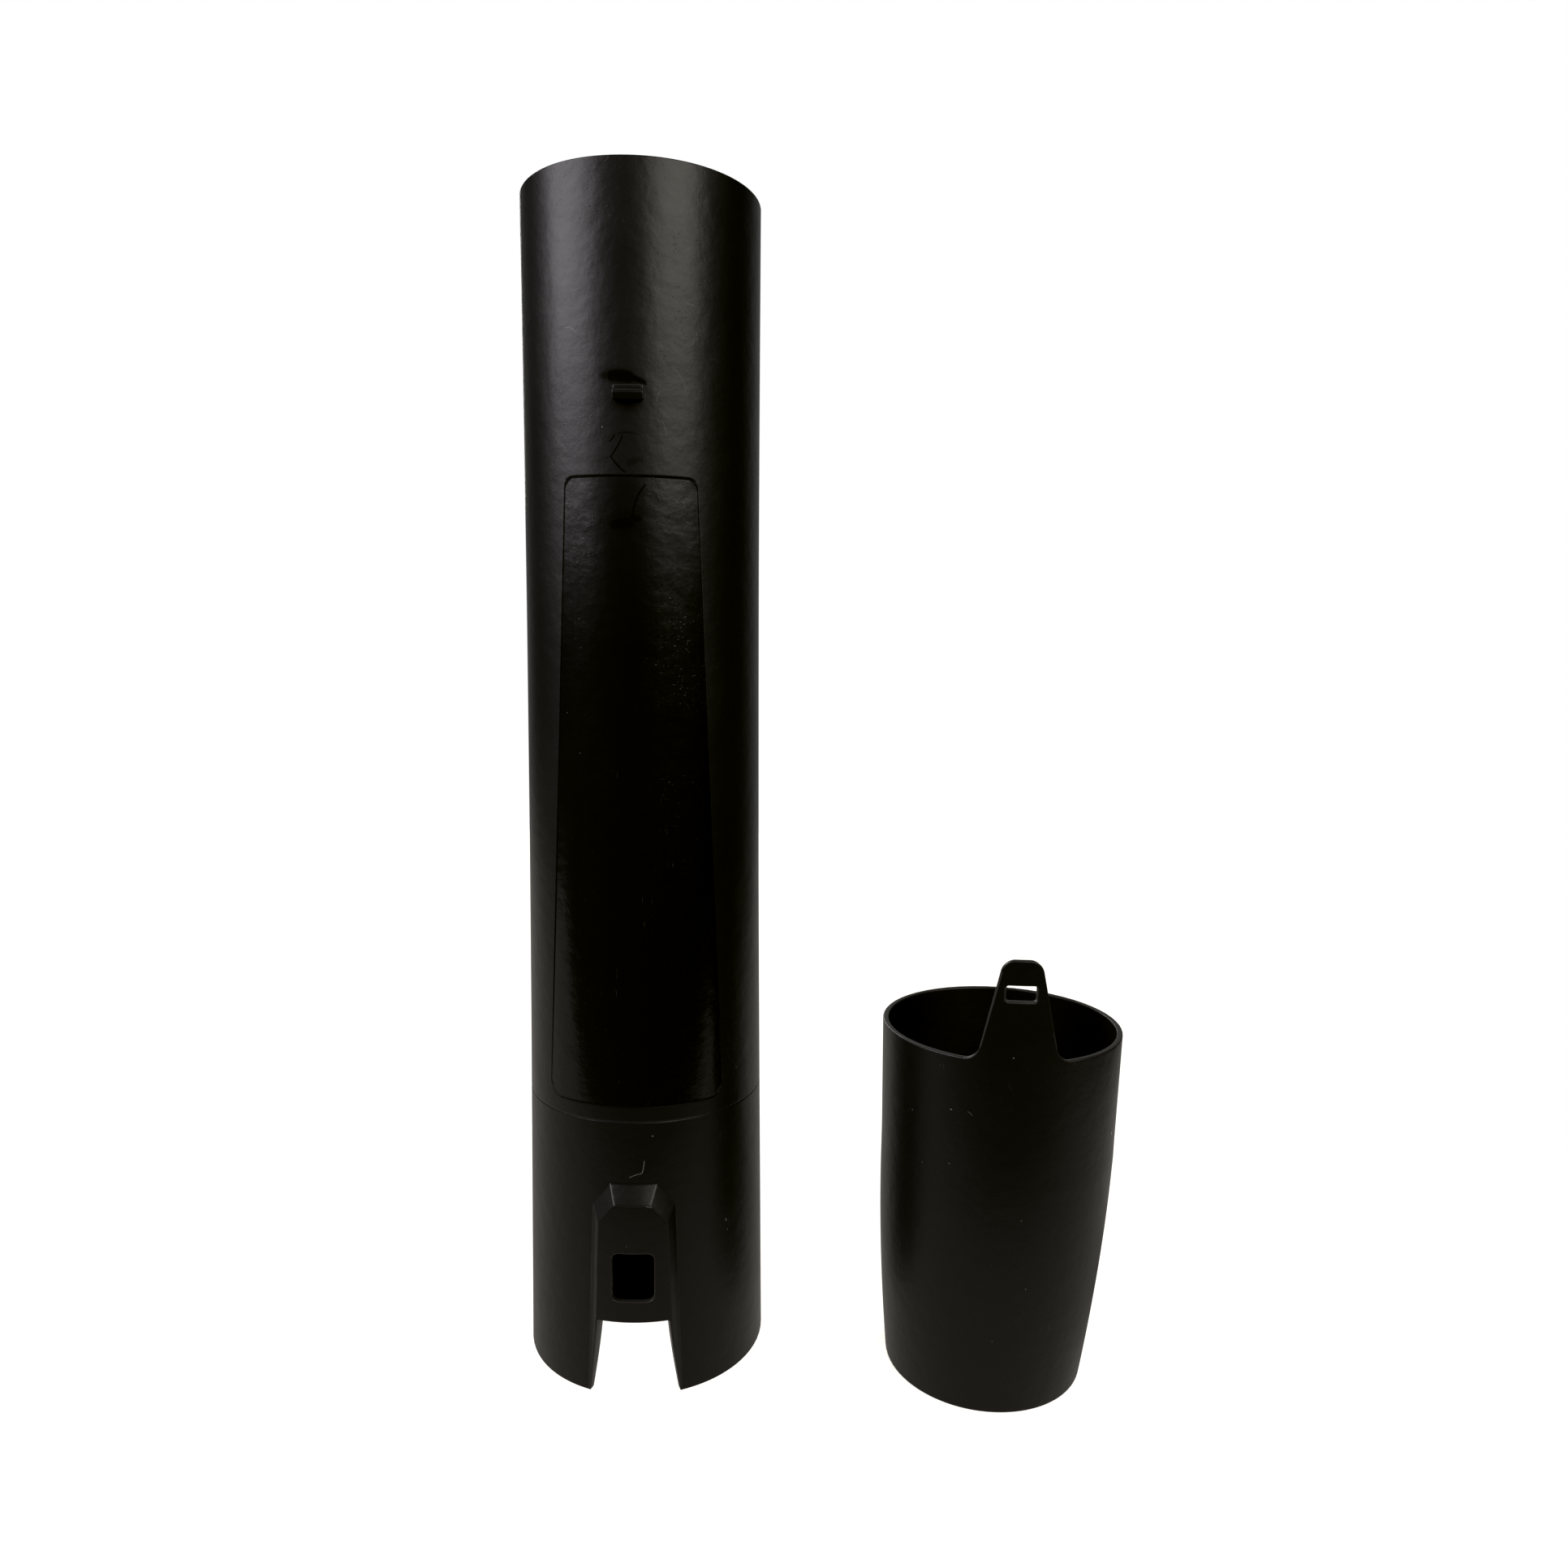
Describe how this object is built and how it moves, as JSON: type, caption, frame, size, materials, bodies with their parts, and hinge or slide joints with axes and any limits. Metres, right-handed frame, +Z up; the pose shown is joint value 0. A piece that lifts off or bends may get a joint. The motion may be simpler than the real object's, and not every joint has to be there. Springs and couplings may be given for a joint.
{
  "type": "leaf blower tube and nozzle",
  "caption": "Long tapered blower tube with a latch boss, window and foot notch at its collar, and a short round-tapered nozzle with a slotted snap tongue, standing side by side.",
  "frame": {"origin": "on the bench, under the middle of the pair's bounding box", "axes": "+Z up along the tube, -Y towards the latch boss, +X from the tube to the nozzle"},
  "size_m": [0.2348, 0.1114, 0.442],
  "materials": {
    "tube_plastic": "near-black satin moulding with a smoother label panel",
    "nozzle_plastic": "near-black satin moulding"
  },
  "bodies": {
    "tube": {"blower_tube": "tube_plastic"},
    "nozzle": {"nozzle_shell": "nozzle_plastic"},
    "tongue": {"latch_tongue": "nozzle_plastic"}
  },
  "joints": [
    {"name": "nozzle_lift", "type": "slide", "parent": "tube", "child": "nozzle", "axis": [0, 0, 1], "range_m": [0, 0.45]},
    {"name": "tongue_flex", "type": "hinge", "parent": "nozzle", "child": "tongue", "pos_m": [0.06842, -0.05557, 0.1413], "axis": [0.9979, -0.0645, 0], "range_deg": [0, 7], "stiffness_Nm_per_rad": 3.3}
  ]
}
